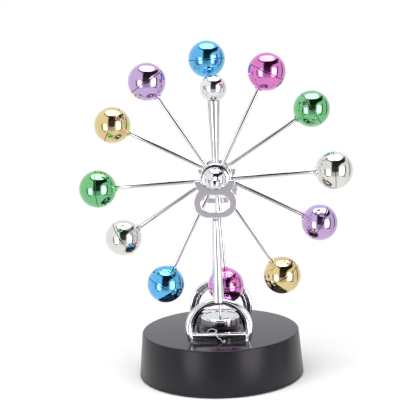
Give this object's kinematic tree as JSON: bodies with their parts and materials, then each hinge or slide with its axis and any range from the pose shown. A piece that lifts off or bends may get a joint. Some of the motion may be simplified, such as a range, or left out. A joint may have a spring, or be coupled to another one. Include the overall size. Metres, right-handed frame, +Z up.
{
  "type": "ferris wheel desk toy",
  "caption": "Ferris wheel desk toy: coloured mirror-bright balls on thin arms turn beside a magnet pendulum, on one axle between chrome stands over a round battery base.",
  "frame": {"origin": "on the table, under the middle of the round base", "axes": "+X to the right as seen from the front, +Y away from the viewer along the axle, +Z up"},
  "size_m": [0.1698, 0.1056, 0.2126],
  "materials": {
    "base_case": "satin charcoal paint with a faint metallic shade",
    "under_case": "fine textured black",
    "cell_can": "plain grey wrap, unmarked",
    "contact_metal": "nickel plated",
    "bobbin_plastic": "natural white",
    "coil_copper": "enamelled copper wire, wound in layers",
    "board_green": "solder mask",
    "component_black": "moulded",
    "wire_red": "smooth insulation",
    "screw_steel": "zinc plated",
    "foot_rubber": "matt black",
    "stand_chrome": "bright plated, mirror smooth",
    "wheel_chrome": "bright plated, mirror smooth",
    "pendulum_chrome": "bright plated, mirror smooth",
    "bright_steel": "drawn and polished",
    "bush_brass": "turned",
    "ratchet_steel": "stamped",
    "spacer_plastic": "natural white",
    "pawl_plastic": "smooth black",
    "magnet_dark": "plain dark grey",
    "ball_blue": "metallised with tinted lacquer, mirror bright",
    "ball_pink": "metallised with tinted lacquer, mirror bright",
    "ball_green": "metallised with tinted lacquer, mirror bright",
    "ball_silver": "metallised, mirror bright",
    "ball_purple": "metallised with tinted lacquer, mirror bright",
    "ball_gold": "metallised with tinted lacquer, mirror bright"
  },
  "bodies": {
    "base": {"base_shell": "base_case", "bottom_cover": "under_case", "battery_cells": "cell_can", "battery_contacts": "contact_metal", "coil_bobbin": "bobbin_plastic", "coil_winding": "coil_copper", "circuit_board": "board_green", "board_components": "component_black", "lead_wires": "wire_red", "cover_screws": "screw_steel", "stand_screws": "screw_steel", "rubber_feet": "foot_rubber", "front_leg": "stand_chrome", "rear_leg": "stand_chrome", "front_yoke": "stand_chrome", "rear_yoke": "stand_chrome", "yoke_pins": "bright_steel", "bearing_bushes": "bush_brass"},
    "door": {"battery_door": "under_case"},
    "wheel": {"axle": "bright_steel", "axle_caps": "wheel_chrome", "front_hub": "wheel_chrome", "rear_hub": "wheel_chrome", "front_dome": "wheel_chrome", "rear_dome": "wheel_chrome", "ratchet_wheel": "ratchet_steel", "axle_spacers": "spacer_plastic", "arm_01": "wheel_chrome", "arm_02": "wheel_chrome", "arm_03": "wheel_chrome", "arm_04": "wheel_chrome", "arm_05": "wheel_chrome", "arm_06": "wheel_chrome", "arm_07": "wheel_chrome", "arm_08": "wheel_chrome", "arm_09": "wheel_chrome", "arm_10": "wheel_chrome", "arm_11": "wheel_chrome", "arm_12": "wheel_chrome", "ball_01": "ball_blue", "ball_02": "ball_pink", "ball_03": "ball_green", "ball_04": "ball_silver", "ball_05": "ball_purple", "ball_06": "ball_gold", "ball_07": "ball_pink", "ball_08": "ball_blue", "ball_09": "ball_silver", "ball_10": "ball_green", "ball_11": "ball_gold", "ball_12": "ball_purple"},
    "pendulum": {"pendulum_collar": "pendulum_chrome", "pendulum_upper_rod": "pendulum_chrome", "counterweight_ball": "pendulum_chrome", "pendulum_lower_rod": "pendulum_chrome", "magnet_drum": "pendulum_chrome", "drum_lid": "pendulum_chrome", "drum_magnet": "magnet_dark", "pawl_pin": "bright_steel"},
    "pawl": {"pawl": "pawl_plastic"}
  },
  "joints": [
    {"name": "wheel_spin", "type": "hinge", "parent": "base", "child": "wheel", "pos_m": [0, 0, 0.1277], "axis": [0, 1, 0], "continuous": true},
    {"name": "pendulum_swing", "type": "hinge", "parent": "base", "child": "pendulum", "pos_m": [0, 0, 0.1277], "axis": [0, 1, 0], "range_deg": [-30, 30]},
    {"name": "pawl_pivot", "type": "hinge", "parent": "pendulum", "child": "pawl", "pos_m": [-0.005, -0.0096, 0.13433], "axis": [0, -1, 0], "range_deg": [-8, 15]},
    {"name": "battery_door_hinge", "type": "hinge", "parent": "base", "child": "door", "pos_m": [0, -0.02755, 0.0012], "axis": [-1, 0, 0], "range_deg": [0, 60]}
  ]
}
